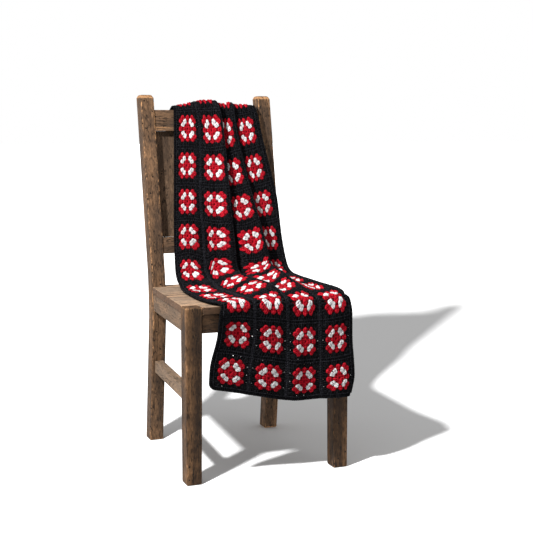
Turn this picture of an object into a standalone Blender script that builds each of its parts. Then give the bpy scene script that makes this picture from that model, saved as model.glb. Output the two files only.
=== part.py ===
"""Granny square blanket draped over a rustic wooden chair. Metres, +Z up, the chair's front faces -Y."""
import math

import bmesh
import bpy
import numpy as np
from mathutils import Matrix

# chair, as it stands: x to the right seen from the front, y to the rear from the front legs' faces
SEAT_HEIGHT = 0.450
FRONT_WIDTH = 0.444
REAR_WIDTH = 0.393
SEAT_DEPTH = 0.385
PANEL_THICKNESS = 0.019
PANEL_SHORT_OF_REAR = 0.012
FRONT_LEG = 0.044
LEG_TAPER = 0.004
POST_WIDTH = 0.040
POST_DEPTH = 0.044
POST_TOP = 0.982
POST_SPLAY = 0.045
POST_BEND_BELOW = 0.090
POST_BEND_ABOVE = 0.030
POST_BEND_STEPS = 4
POST_SHOULDER = 0.009
POST_TOP_SHRINK = 0.0045
BACK_RAKE = 0.193
APRON_THICKNESS = 0.022
APRON_BOTTOM = 0.384
SIDE_APRON_SETBACK = 0.002
FRONT_APRON_SETBACK = 0.003
REAR_APRON_SETBACK = 0.006
STRETCHER_TOP = 0.238
STRETCHER_HEIGHT = 0.034
STRETCHER_WIDTH = 0.024
STRETCHER_INSET = 0.008
RAIL_THICKNESS = 0.022
RAIL_SETBACK = 0.004
RAIL_LIP = 0.003
RAIL_LIP_HEIGHT = 0.008
TOP_RAIL_LOW = 0.881
TOP_RAIL_HIGH = 0.940
LOWER_RAIL_LOW = 0.540
LOWER_RAIL_HIGH = 0.584
BACK_PANEL_THICKNESS = 0.010
BACK_PANEL_SETBACK = 0.023
LEG_EDGE = 0.004
POST_EDGE = 0.004
BOARD_EDGE = 0.002
RAIL_EDGE = 0.0016
EDGE_STEPS = 2
EDGE_ANGLE = math.radians(40)
CUTTER_MARGIN = 0.05
CUTTER_REACH = 0.15
GAP = 0.0003

# blanket: columns of squares across, rows of squares along, counted from the front hem
COLUMNS = 4
ROWS = 14
CLOTH_THICKNESS = 0.004
EDGING = 0.07
CORNER_ROUND = 0.17
ROW_LENGTH_MM = 92
PATH_STEPS = 50
# cells of the sheet's grid up to each place, closer together where the folds and bends are
CELLS_ACROSS = ((0, -0.07), (8, 1.60), (15, 2.35), (17, 2.70), (23, 3.28), (28, 4.07))
CELLS_ALONG = ((0, -0.07), (8, 2.1), (17, 2.9), (27, 5.0), (35, 6.2), (51, 9.9), (60, 10.6), (72, 14.07))

# the line that the cloth follows over the chair, a row for each section:
# row of squares, y, z (mm), and the side that the cloth shows there (0 front, 90 up, 180 rear)
PATH = (
    (0.0, 0, 206, 0),
    (0.5, 0, 257, 0),
    (1.5, 0, 357, 0),
    (2.1, 0, 417, 1),
    (2.36, 0, 440, 10),
    (2.5, 3, 449, 45),
    (2.64, 14, 450, 80),
    (2.9, 38, 450, 88),
    (3.5, 125, 450, 90),
    (4.5, 245, 450, 90),
    (5.0, 330, 456, 68),
    (5.5, 385, 485, 35),
    (6.5, 410, 580, 11),
    (7.5, 428, 675, 11),
    (8.5, 448, 777, 11),
    (9.5, 468, 882, 11),
    (10.04, 479, 935, 22),
    (10.2, 493, 942, 82),
    (10.5, 508, 930, 157),
    (12.0, 514, 789, 178),
    (14.0, 517, 596, 180),
)

# named lines along the cloth, each with its place across in squares
LINES = {"left": -0.07, "one": 0.5, "side": 1.07, "two": 1.5, "ridge": 1.93, "groove": 2.07, "valley": 2.22,
         "three": 2.5, "crest": 2.93, "dip": 3.12, "four": 3.5, "right": 4.07}

# where each line runs across the chair (mm), a row for each section of the path
# left, one, side, two, ridge, groove, valley, three, crest, dip, four, right
ACROSS = (
    (-169, -113, -56, -12, 31, 46, 60, 88, 132, 151, 190, 221),
    (-165, -111, -54, -10, 33, 48, 62, 88, 129, 148, 186, 230),
    (-144, -90, -39, 4, 38, 52, 66, 93, 128, 147, 178, 225),
    (-142, -88, -38, 4, 38, 52, 66, 92, 126, 146, 179, 224),
    (-134, -90, -38, 5, 38, 52, 67, 94, 127, 146, 180, 219),
    (-142, -98, -39, 5, 38, 52, 67, 93, 125, 144, 178, 209),
    (-146, -95, -38, 6, 39, 52, 66, 92, 123, 142, 176, 211),
    (-152, -100, -42, 1, 40, 52, 65, 88, 119, 135, 170, 207),
    (-158, -105, -43, -2, 40, 53, 66, 89, 114, 131, 168, 197),
    (-152, -104, -45, -8, 35, 50, 66, 92, 129, 137, 164, 205),
    (-142, -97, -40, -3, 41, 54, 70, 98, 137, 138, 164, 208),
    (-134, -94, -40, -11, 42, 58, 85, 114, 140, 141, 163, 207),
    (-127, -89, -36, -7, 42, 54, 72, 101, 128, 134, 156, 197),
    (-120, -82, -38, -3, 35, 44, 55, 74, 109, 117, 144, 191),
    (-113, -76, -32, 2, 33, 38, 43, 58, 89, 101, 125, 173),
    (-106, -66, -27, 2, 31, 32, 32, 45, 73, 85, 110, 154),
    (-103, -65, -33, -7, 25, 29, 33, 49, 69, 79, 101, 147),
    (-100, -66, -34, -8, 22, 28, 34, 49, 71, 78, 102, 147),
    (-106, -62, -28, -2, 28, 31, 34, 56, 78, 84, 110, 146),
    (-122, -74, -35, -4, 34, 40, 46, 70, 98, 106, 132, 166),
    (-150, -98, -49, -10, 36, 42, 48, 84, 120, 134, 168, 204),
)

# how far each line stands off the path (mm), a row for each section
STAND_OFF = (
    (17, 13, 15, 17, 15, 16, 18, 17, 16, 20, 24, 20),
    (14, 13, 16, 18, 15, 18, 20, 15, 13, 17, 21, 20),
    (15, 10, 13, 14, 11, 12, 14, 13, 13, 14, 15, 15),
    (22, 13, 14, 14, 11, 10, 10, 12, 10, 12, 17, 15),
    (11, 13, 12, 11, 11, 10, 9, 9, 9, 10, 13, 13),
    (9, 11, 11, 11, 13, 11, 9, 9, 9, 9, 11, 14),
    (7, 11, 10, 13, 17, 13, 9, 10, 11, 9, 11, 19),
    (5, 10, 11, 16, 27, 19, 11, 19, 22, 12, 14, 24),
    (5, 5, 10, 25, 35, 24, 12, 21, 37, 27, 16, 27),
    (7, 5, 8, 21, 35, 28, 22, 28, 48, 31, 19, 24),
    (12, 11, 12, 22, 31, 18, 27, 31, 48, 30, 18, 21),
    (13, 22, 16, 15, 26, 6, 22, 35, 46, 27, 16, 15),
    (6, 14, 12, 10, 25, 5, 24, 27, 40, 22, 14, 13),
    (5, 11, 11, 12, 33, 16, 15, 19, 33, 16, 12, 13),
    (5, 9, 13, 18, 34, 22, 9, 15, 26, 11, 12, 12),
    (5, 8, 12, 17, 30, 20, 10, 11, 22, 8, 11, 11),
    (6, 11, 13, 15, 26, 18, 11, 9, 21, 9, 9, 10),
    (8, 14, 22, 26, 26, 22, 18, 17, 22, 15, 15, 11),
    (6, 9, 12, 16, 22, 17, 12, 12, 16, 11, 9, 6),
    (7, 11, 13, 16, 24, 17, 10, 13, 22, 12, 10, 10),
    (12, 9, 10, 12, 18, 16, 14, 10, 17, 16, 10, 14),
)

# how far each line runs ahead along the path (mm), a row for each section
AHEAD = (
    (47, 35, 22, 12, 2, 0, -2, -3, -3, -4, -4, -3),
    (41, 27, 14, 5, -5, -8, -10, -12, -11, -12, -10, -4),
    (30, 25, 11, 3, -4, -7, -10, -9, -10, -9, -7, 0),
    (13, 13, 7, 2, -3, -6, -8, -8, -9, -9, -6, 1),
    (7, 12, 9, 8, 4, 2, -1, 1, 0, -1, 3, 6),
    (4, 9, 7, 7, 5, 4, 3, 2, 1, 0, 1, 3),
    (5, 10, 8, 8, 7, 6, 4, 2, 2, 0, 0, 1),
    (7, 12, 10, 11, 13, 10, 7, 3, 5, 2, 1, 8),
    (-12, -8, -11, 0, 10, 6, 2, -3, 2, -3, -9, 5),
    (5, 6, -7, 13, 15, 10, 4, -7, 1, 1, 2, 6),
    (-15, -15, -28, -3, -5, -11, -17, -25, -14, -15, -17, -11),
    (-9, -1, -22, 8, -5, -14, -22, -26, 4, -2, -9, -10),
    (2, 5, -3, -7, -12, -16, -20, -20, -2, -6, -11, -9),
    (6, 6, 1, -4, -8, -14, -20, -17, -9, -10, -6, 6),
    (5, 5, 0, -4, -4, -10, -17, -19, -10, -10, -6, 8),
    (3, 3, -1, -4, 0, -3, -6, -14, -10, -11, -6, 7),
    (1, 2, 3, 3, 0, -1, -2, -4, -7, -6, -5, 6),
    (-3, -3, -3, -3, -5, -6, -6, -7, -10, -8, -6, 0),
    (0, 0, 0, 0, 0, 0, 0, 0, 0, 0, 0, 0),
    (0, 2, 3, 3, 2, 2, 2, 0, -2, -2, -2, -4),
    (-4, 2, 5, 6, 4, 3, 2, 0, -4, -4, -2, -8),
)


def smooth_through(knots, values, at):
    """Rounded curve through the knots that never swings past them, one column of values at a time."""
    knots = np.asarray(knots, float)
    values = np.asarray(values, float)
    at = np.clip(np.asarray(at, float), knots[0], knots[-1])
    step = np.diff(knots)
    slope = np.diff(values, axis=0) / step.reshape((-1,) + (1,) * (values.ndim - 1))
    tangent = np.zeros_like(values)
    tangent[0], tangent[-1] = slope[0], slope[-1]
    for k in range(1, len(knots) - 1):
        before, after = slope[k - 1], slope[k]
        weight_before, weight_after = 2 * step[k] + step[k - 1], step[k] + 2 * step[k - 1]
        same = before * after > 0
        safe_before, safe_after = np.where(same, before, 1.0), np.where(same, after, 1.0)
        mean = (weight_before + weight_after) / (weight_before / safe_before + weight_after / safe_after)
        tangent[k] = np.where(same, mean, 0.0)
    cell = np.clip(np.searchsorted(knots, at, side="right") - 1, 0, len(knots) - 2)
    shape = (-1,) + (1,) * (values.ndim - 1)
    t = ((at - knots[cell]) / step[cell]).reshape(shape)
    width = step[cell].reshape(shape)
    return ((2 * t**3 - 3 * t**2 + 1) * values[cell] + (t**3 - 2 * t**2 + t) * width * tangent[cell]
            + (3 * t**2 - 2 * t**3) * values[cell + 1] + (t**3 - t**2) * width * tangent[cell + 1])


def cloth_points(across, along):
    """Places on the cloth's middle surface, for arrays of places in squares across and rows along."""
    rows = [row[0] for row in PATH]
    knots = list(LINES.values())
    along_path = np.clip(along, 0, ROWS)

    def blended(table):
        lines = smooth_through(rows, table, along_path)
        return np.array([smooth_through(knots, line, [u])[0] for line, u in zip(lines, across)])

    x, off, ahead = blended(ACROSS), blended(STAND_OFF), blended(AHEAD)
    dense = np.linspace(0, ROWS, ROWS * PATH_STEPS + 1)
    path = smooth_through(rows, [row[1:] for row in PATH], dense).T
    length = np.concatenate([[0.0], np.cumsum(np.hypot(np.diff(path[0]), np.diff(path[1])))])
    reach = np.interp(along_path, dense, length) + ahead + (along - along_path) * ROW_LENGTH_MM
    beyond = reach - np.clip(reach, 0, length[-1])
    y, z, face = (np.interp(reach, length, values) for values in path)
    turn = np.radians(face)
    y = y - off * np.cos(turn) + beyond * np.sin(turn)
    z = z + off * np.sin(turn) + beyond * np.cos(turn)
    return np.stack([x, y, z], 1) / 1000


def rounded_corner(across, along):
    """Moves places near the sheet's four corners inward, so that the corners are round."""
    half_u, half_v = COLUMNS / 2 + EDGING, ROWS / 2 + EDGING
    u, v = across - COLUMNS / 2, along - ROWS / 2
    du, dv = abs(u) - (half_u - CORNER_ROUND), abs(v) - (half_v - CORNER_ROUND)
    if du > 0 and dv > 0:
        scale = max(du, dv) / math.hypot(du, dv)
        u = math.copysign(half_u - CORNER_ROUND + du * scale, u)
        v = math.copysign(half_v - CORNER_ROUND + dv * scale, v)
    return u + COLUMNS / 2, v + ROWS / 2


def back_plane(z):
    """y of the posts' front faces above the seat."""
    return SEAT_DEPTH + BACK_RAKE * (z - SEAT_HEIGHT)


def side_line(y):
    """Half of the chair's width at a depth, between the wide front and the narrow rear."""
    return (FRONT_WIDTH + (REAR_WIDTH - FRONT_WIDTH) * y / SEAT_DEPTH) / 2


def collection(name):
    made = bpy.data.collections.new(name)
    bpy.context.scene.collection.children.link(made)
    return made


def material(name, colour, roughness):
    made = bpy.data.materials.new(name)
    made.use_nodes = True
    shader = made.node_tree.nodes["Principled BSDF"]
    shader.inputs["Base Color"].default_value = (*colour, 1.0)
    shader.inputs["Roughness"].default_value = roughness
    return made


def add_object(name, mesh_maker, home, surface=None):
    mesh = bpy.data.meshes.new(name)
    shape = bmesh.new()
    mesh_maker(shape)
    shape.normal_update()
    bmesh.ops.recalc_face_normals(shape, faces=shape.faces)
    shape.to_mesh(mesh)
    shape.free()
    made = bpy.data.objects.new(name, mesh)
    home.objects.link(made)
    if surface:
        mesh.materials.append(surface)
    return made


def wear(made, width):
    """Rounds an object's sharp edges."""
    worn = made.modifiers.new("worn edges", "BEVEL")
    worn.width = width
    worn.segments = EDGE_STEPS
    worn.limit_method = "ANGLE"
    worn.angle_limit = EDGE_ANGLE


def board(name, low, high, home, surface, cuts=(), place=None, edge=LEG_EDGE):
    """A beam from a cube between two corners, cut at heights, bent by a place function, edges worn."""
    low, high = np.array(low, float), np.array(high, float)

    def make(shape):
        bmesh.ops.create_cube(shape, size=1.0)
        for vert in shape.verts:
            vert.co = tuple(low + (np.array(vert.co) + 0.5) * (high - low))
        for height in cuts:
            everything = shape.verts[:] + shape.edges[:] + shape.faces[:]
            bmesh.ops.bisect_plane(shape, geom=everything, plane_co=(0, 0, height), plane_no=(0, 0, 1))
        if place:
            for vert in shape.verts:
                vert.co = place(*vert.co)

    made = add_object(name, make, home, surface)
    if edge:
        wear(made, edge)
    return made


def front_leg(side, home, surface):
    """A front leg, a little narrower on the inside towards the floor."""
    outer = side * FRONT_WIDTH / 2
    inner = outer - side * FRONT_LEG

    def place(x, y, z):
        taper = LEG_TAPER * max(0.0, 1 - z / APRON_BOTTOM) if abs(x) < abs(outer + inner) / 2 else 0.0
        return x + side * taper, y, z

    name = "front_leg_left" if side < 0 else "front_leg_right"
    return board(name, (min(outer, inner), 0, 0), (max(outer, inner), FRONT_LEG, SEAT_HEIGHT), home, surface,
                 (APRON_BOTTOM,), place)


def rear_post(side, home, surface):
    """A rear leg that leans forward to the seat, bends there and rakes back to a rounded top."""
    outer = side * REAR_WIDTH / 2
    inner = outer - side * POST_WIDTH
    bend_low, bend_high = SEAT_HEIGHT - POST_BEND_BELOW, SEAT_HEIGHT + POST_BEND_ABOVE
    shoulder = POST_TOP - POST_SHOULDER

    def front(z):
        if z <= bend_low:
            return SEAT_DEPTH + POST_SPLAY * (1 - z / bend_low)
        if z >= bend_high:
            return back_plane(z)
        part_way = (z - bend_low) / (bend_high - bend_low)
        return SEAT_DEPTH + (back_plane(bend_high) - SEAT_DEPTH) * part_way ** 2

    def place(x, y, z):
        shrink = POST_TOP_SHRINK if z > (shoulder + POST_TOP) / 2 else 0.0
        middle = (outer + inner) / 2
        x = middle + (x - middle) * (1 - 2 * shrink / POST_WIDTH)
        y = front(z) + POST_DEPTH / 2 + (y - POST_DEPTH / 2) * (1 - 2 * shrink / POST_DEPTH)
        return x, y, z

    cuts = [*np.linspace(bend_low, bend_high, POST_BEND_STEPS + 1), shoulder]
    name = "rear_post_left" if side < 0 else "rear_post_right"
    return board(name, (min(outer, inner), 0, 0), (max(outer, inner), POST_DEPTH, POST_TOP), home, surface,
                 cuts, place, POST_EDGE)


def back_board(name, half, low, high, setback, thickness, home, surface, lip=0.0, edge=RAIL_EDGE):
    """A board of the back that leans with the posts, with a lip along its lower front edge if asked."""
    lip_high = low + RAIL_LIP_HEIGHT

    def place(x, y, z):
        forward = lip if y < thickness / 2 and z < lip_high + lip / 2 else 0.0
        return x, back_plane(z) + setback + y - forward, z

    cuts = (lip_high, lip_high + lip) if lip else ()
    return board(name, (-half, 0, low), (half, thickness, high), home, surface, cuts, place, edge)


def side_board(name, side, inset, width, low, high, start, end, home, surface, lean=0.0):
    """A board along the chair's side that follows its taper, its rear end cut to meet a leaning leg."""
    def place(x, y, z):
        reach = lean * (high - z) if y > start else 0.0
        return side * (side_line(y) - inset - x), y + reach, z

    return board(name, (0, start, low), (width, end, high), home, surface, (), place, BOARD_EDGE)


def seat_panel(home, cutter_home, surface):
    """The seat, tapered to the rear, notched around the front legs and between the rear posts."""
    rear = SEAT_DEPTH + POST_DEPTH - PANEL_SHORT_OF_REAR
    cutter_low, cutter_high = SEAT_HEIGHT - CUTTER_REACH, SEAT_HEIGHT + CUTTER_REACH

    def place(x, y, z):
        return x * 2 * side_line(y), y, z

    made = board("seat_panel", (-0.5, 0, SEAT_HEIGHT - PANEL_THICKNESS), (0.5, rear, SEAT_HEIGHT), home,
                 surface, (), place, edge=0)
    for side in (-1, 1):
        outside = side * (FRONT_WIDTH / 2 + CUTTER_MARGIN)
        leg_edge = side * (FRONT_WIDTH / 2 - FRONT_LEG - GAP)
        post_edge = side * (REAR_WIDTH / 2 - POST_WIDTH - GAP)
        for label, edge_x, start, end in (("leg", leg_edge, -CUTTER_MARGIN, FRONT_LEG + GAP),
                                          ("post", post_edge, SEAT_DEPTH - GAP, rear + CUTTER_MARGIN)):
            xs = sorted((edge_x, outside))
            cutter = board(f"cutter_{label}_{'left' if side < 0 else 'right'}", (xs[0], start, cutter_low),
                           (xs[1], end, cutter_high), cutter_home, None, edge=0)
            cutter.hide_render = True
            cutter.display_type = "WIRE"
            notch = made.modifiers.new(f"notch {label}", "BOOLEAN")
            notch.operation = "DIFFERENCE"
            notch.solver = "EXACT"
            notch.object = cutter
    wear(made, BOARD_EDGE)
    return made


def blanket(home, surface):
    """The draped sheet: a grid laid along the path with its folds, then given its thickness."""
    def make(shape):
        cells_u, cells_v = CELLS_ACROSS[-1][0], CELLS_ALONG[-1][0]
        bmesh.ops.create_grid(shape, x_segments=cells_u, y_segments=cells_v, size=0.5)
        grid = np.array([(vert.co.x + 0.5, vert.co.y + 0.5) for vert in shape.verts])
        places_u = np.interp(grid[:, 0] * cells_u, *zip(*CELLS_ACROSS))
        places_v = np.interp(grid[:, 1] * cells_v, *zip(*CELLS_ALONG))
        across, along = np.array([rounded_corner(u, v) for u, v in zip(places_u, places_v)]).T
        for vert, point in zip(shape.verts, cloth_points(across, along)):
            vert.co = point

    made = add_object("blanket", make, home, surface)
    thick = made.modifiers.new("thickness", "SOLIDIFY")
    thick.thickness = CLOTH_THICKNESS
    thick.offset = 0.0
    thick.use_even_offset = True
    thick.use_quality_normals = True
    return made


def stand_on_origin(home, cutter_home):
    """Moves every mesh so that the middle of the finished object's base is the origin."""
    bpy.context.view_layer.update()
    graph = bpy.context.evaluated_depsgraph_get()
    corners = np.array([corner for made in home.objects for corner in made.evaluated_get(graph).bound_box])
    low, high = corners.min(0), corners.max(0)
    shift = Matrix.Translation((-(low[0] + high[0]) / 2, -(low[1] + high[1]) / 2, -low[2]))
    for made in list(home.objects) + list(cutter_home.objects):
        made.data.transform(shift)


def main():
    for old in list(bpy.data.objects):
        bpy.data.objects.remove(old, do_unlink=True)
    home = collection("draped_blanket_chair")
    cutter_home = collection("cutters")
    dark_wood = material("dark_wood", (0.115, 0.068, 0.040), 0.72)
    seat_wood = material("seat_wood", (0.300, 0.205, 0.130), 0.78)
    black_yarn = material("black_yarn", (0.016, 0.016, 0.018), 0.92)

    between_legs = FRONT_WIDTH / 2 - FRONT_LEG - GAP
    between_posts = REAR_WIDTH / 2 - POST_WIDTH - GAP
    apron_top = SEAT_HEIGHT - PANEL_THICKNESS - GAP
    leg_lean = POST_SPLAY / (SEAT_HEIGHT - POST_BEND_BELOW)
    stretcher_end = SEAT_DEPTH + POST_SPLAY - leg_lean * STRETCHER_TOP - GAP
    for side, label in ((-1, "left"), (1, "right")):
        front_leg(side, home, dark_wood)
        rear_post(side, home, dark_wood)
        side_board(f"apron_{label}", side, SIDE_APRON_SETBACK, APRON_THICKNESS, APRON_BOTTOM, apron_top,
                   FRONT_LEG + GAP, SEAT_DEPTH - GAP, home, dark_wood)
        side_board(f"stretcher_{label}", side, STRETCHER_INSET, STRETCHER_WIDTH,
                   STRETCHER_TOP - STRETCHER_HEIGHT, STRETCHER_TOP, FRONT_LEG + GAP, stretcher_end, home,
                   dark_wood, leg_lean)
    for label, half, front in (("front", between_legs, FRONT_APRON_SETBACK),
                               ("rear", between_posts, SEAT_DEPTH + REAR_APRON_SETBACK)):
        board(f"apron_{label}", (-half, front, APRON_BOTTOM), (half, front + APRON_THICKNESS, apron_top),
              home, dark_wood, edge=BOARD_EDGE)
    back_board("top_rail", between_posts, TOP_RAIL_LOW, TOP_RAIL_HIGH, RAIL_SETBACK, RAIL_THICKNESS, home,
               dark_wood, RAIL_LIP)
    back_board("lower_back_rail", between_posts, LOWER_RAIL_LOW, LOWER_RAIL_HIGH, RAIL_SETBACK,
               RAIL_THICKNESS, home, dark_wood)
    back_board("back_panel", between_posts, LOWER_RAIL_HIGH + GAP, TOP_RAIL_LOW - GAP, BACK_PANEL_SETBACK,
               BACK_PANEL_THICKNESS, home, dark_wood, edge=0)
    seat_panel(home, cutter_home, seat_wood)
    blanket(home, black_yarn)
    stand_on_origin(home, cutter_home)


main()
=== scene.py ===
"""A granny square blanket over an old wooden chair: crocheted yarn, worn timber and a plain studio."""
import functools
import math

import bpy
import numpy as np
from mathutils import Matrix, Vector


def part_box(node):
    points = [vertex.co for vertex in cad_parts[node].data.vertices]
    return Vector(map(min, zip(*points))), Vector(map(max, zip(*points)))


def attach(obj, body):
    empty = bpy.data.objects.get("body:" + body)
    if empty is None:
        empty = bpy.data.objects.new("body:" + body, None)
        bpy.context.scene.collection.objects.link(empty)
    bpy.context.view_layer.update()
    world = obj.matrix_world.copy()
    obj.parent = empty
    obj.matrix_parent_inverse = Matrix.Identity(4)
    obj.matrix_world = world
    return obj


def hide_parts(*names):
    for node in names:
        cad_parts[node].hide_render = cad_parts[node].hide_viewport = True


bl_info = {
    "name": "Granny square blanket on a chair",
    "version": (1, 0, 0),
    "blender": (4, 5, 0),
    "location": "View3D > Sidebar > Blanket",
    "description": "Builds the crocheted squares, the old wood and the studio around the packed chair",
    "category": "Object",
}

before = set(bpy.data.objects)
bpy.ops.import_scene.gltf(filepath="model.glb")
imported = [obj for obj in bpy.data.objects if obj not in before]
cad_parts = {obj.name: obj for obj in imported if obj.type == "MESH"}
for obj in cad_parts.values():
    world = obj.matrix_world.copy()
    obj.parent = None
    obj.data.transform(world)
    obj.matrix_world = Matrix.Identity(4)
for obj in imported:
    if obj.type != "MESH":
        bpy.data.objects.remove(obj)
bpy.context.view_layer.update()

# chair coordinates have x = 0 in the chair's middle and y = 0 at the front legs' faces
FRONT_WIDTH = 0.444
LEG_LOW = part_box("front_leg_left")[0]
CHAIR_TO_PART = np.array([LEG_LOW[0] + FRONT_WIDTH / 2, LEG_LOW[1], 0.0])

# the blanket: columns of squares across, rows of squares along, counted from the front hem
COLUMNS = 4
ROWS = 14
EDGING = 0.07
CORNER_ROUND = 0.17
ROW_LENGTH_MM = 92
PATH_STEPS = 50
SQUARE_MM = 97.0

# the line that the cloth follows over the chair, a row for each section:
# row of squares, y, z (mm), and the side that the cloth shows there (0 front, 90 up, 180 rear)
PATH = (
    (0.0, 0, 206, 0),
    (0.5, 0, 257, 0),
    (1.5, 0, 357, 0),
    (2.1, 0, 417, 1),
    (2.36, 0, 440, 10),
    (2.5, 3, 449, 45),
    (2.64, 14, 450, 80),
    (2.9, 38, 450, 88),
    (3.5, 125, 450, 90),
    (4.5, 245, 450, 90),
    (5.0, 330, 456, 68),
    (5.5, 385, 485, 35),
    (6.5, 410, 580, 11),
    (7.5, 428, 675, 11),
    (8.5, 448, 777, 11),
    (9.5, 468, 882, 11),
    (10.04, 479, 935, 22),
    (10.2, 493, 942, 82),
    (10.5, 508, 930, 157),
    (12.0, 514, 789, 178),
    (14.0, 517, 596, 180),
)

# named lines along the cloth, each with its place across in squares
LINES = {"left": -0.07, "one": 0.5, "side": 1.07, "two": 1.5, "ridge": 1.93, "groove": 2.07,
         "valley": 2.22, "three": 2.5, "crest": 2.93, "dip": 3.12, "four": 3.5, "right": 4.07}

# where each line runs across the chair (mm), a row for each section of the path
# left, one, side, two, ridge, groove, valley, three, crest, dip, four, right
ACROSS = (
    (-169, -113, -56, -12, 31, 46, 60, 88, 132, 151, 190, 221),
    (-165, -111, -54, -10, 33, 48, 62, 88, 129, 148, 186, 230),
    (-144, -90, -39, 4, 38, 52, 66, 93, 128, 147, 178, 225),
    (-142, -88, -38, 4, 38, 52, 66, 92, 126, 146, 179, 224),
    (-134, -90, -38, 5, 38, 52, 67, 94, 127, 146, 180, 219),
    (-142, -98, -39, 5, 38, 52, 67, 93, 125, 144, 178, 209),
    (-146, -95, -38, 6, 39, 52, 66, 92, 123, 142, 176, 211),
    (-152, -100, -42, 1, 40, 52, 65, 88, 119, 135, 170, 207),
    (-158, -105, -43, -2, 40, 53, 66, 89, 114, 131, 168, 197),
    (-152, -104, -45, -8, 35, 50, 66, 92, 129, 137, 164, 205),
    (-142, -97, -40, -3, 41, 54, 70, 98, 137, 138, 164, 208),
    (-134, -94, -40, -11, 42, 58, 85, 114, 140, 141, 163, 207),
    (-127, -89, -36, -7, 42, 54, 72, 101, 128, 134, 156, 197),
    (-120, -82, -38, -3, 35, 44, 55, 74, 109, 117, 144, 191),
    (-113, -76, -32, 2, 33, 38, 43, 58, 89, 101, 125, 173),
    (-106, -66, -27, 2, 31, 32, 32, 45, 73, 85, 110, 154),
    (-103, -65, -33, -7, 25, 29, 33, 49, 69, 79, 101, 147),
    (-100, -66, -34, -8, 22, 28, 34, 49, 71, 78, 102, 147),
    (-106, -62, -28, -2, 28, 31, 34, 56, 78, 84, 110, 146),
    (-122, -74, -35, -4, 34, 40, 46, 70, 98, 106, 132, 166),
    (-150, -98, -49, -10, 36, 42, 48, 84, 120, 134, 168, 204),
)

# how far each line stands off the path (mm), a row for each section
STAND_OFF = (
    (17, 13, 15, 17, 15, 16, 18, 17, 16, 20, 24, 20),
    (14, 13, 16, 18, 15, 18, 20, 15, 13, 17, 21, 20),
    (15, 10, 13, 14, 11, 12, 14, 13, 13, 14, 15, 15),
    (22, 13, 14, 14, 11, 10, 10, 12, 10, 12, 17, 15),
    (11, 13, 12, 11, 11, 10, 9, 9, 9, 10, 13, 13),
    (9, 11, 11, 11, 13, 11, 9, 9, 9, 9, 11, 14),
    (7, 11, 10, 13, 17, 13, 9, 10, 11, 9, 11, 19),
    (5, 10, 11, 16, 27, 19, 11, 19, 22, 12, 14, 24),
    (5, 5, 10, 25, 35, 24, 12, 21, 37, 27, 16, 27),
    (7, 5, 8, 21, 35, 28, 22, 28, 48, 31, 19, 24),
    (12, 11, 12, 22, 31, 18, 27, 31, 48, 30, 18, 21),
    (13, 22, 16, 15, 26, 6, 22, 35, 46, 27, 16, 15),
    (6, 14, 12, 10, 25, 5, 24, 27, 40, 22, 14, 13),
    (5, 11, 11, 12, 33, 16, 15, 19, 33, 16, 12, 13),
    (5, 9, 13, 18, 34, 22, 9, 15, 26, 11, 12, 12),
    (5, 8, 12, 17, 30, 20, 10, 11, 22, 8, 11, 11),
    (6, 11, 13, 15, 26, 18, 11, 9, 21, 9, 9, 10),
    (8, 14, 22, 26, 26, 22, 18, 17, 22, 15, 15, 11),
    (6, 9, 12, 16, 22, 17, 12, 12, 16, 11, 9, 6),
    (7, 11, 13, 16, 24, 17, 10, 13, 22, 12, 10, 10),
    (12, 9, 10, 12, 18, 16, 14, 10, 17, 16, 10, 14),
)

# how far each line runs ahead along the path (mm), a row for each section
AHEAD = (
    (47, 35, 22, 12, 2, 0, -2, -3, -3, -4, -4, -3),
    (41, 27, 14, 5, -5, -8, -10, -12, -11, -12, -10, -4),
    (30, 25, 11, 3, -4, -7, -10, -9, -10, -9, -7, 0),
    (13, 13, 7, 2, -3, -6, -8, -8, -9, -9, -6, 1),
    (7, 12, 9, 8, 4, 2, -1, 1, 0, -1, 3, 6),
    (4, 9, 7, 7, 5, 4, 3, 2, 1, 0, 1, 3),
    (5, 10, 8, 8, 7, 6, 4, 2, 2, 0, 0, 1),
    (7, 12, 10, 11, 13, 10, 7, 3, 5, 2, 1, 8),
    (-12, -8, -11, 0, 10, 6, 2, -3, 2, -3, -9, 5),
    (5, 6, -7, 13, 15, 10, 4, -7, 1, 1, 2, 6),
    (-15, -15, -28, -3, -5, -11, -17, -25, -14, -15, -17, -11),
    (-9, -1, -22, 8, -5, -14, -22, -26, 4, -2, -9, -10),
    (2, 5, -3, -7, -12, -16, -20, -20, -2, -6, -11, -9),
    (6, 6, 1, -4, -8, -14, -20, -17, -9, -10, -6, 6),
    (5, 5, 0, -4, -4, -10, -17, -19, -10, -10, -6, 8),
    (3, 3, -1, -4, 0, -3, -6, -14, -10, -11, -6, 7),
    (1, 2, 3, 3, 0, -1, -2, -4, -7, -6, -5, 6),
    (-3, -3, -3, -3, -5, -6, -6, -7, -10, -8, -6, 0),
    (0, 0, 0, 0, 0, 0, 0, 0, 0, 0, 0, 0),
    (0, 2, 3, 3, 2, 2, 2, 0, -2, -2, -2, -4),
    (-4, 2, 5, 6, 4, 3, 2, 0, -4, -4, -2, -8),
)

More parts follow.
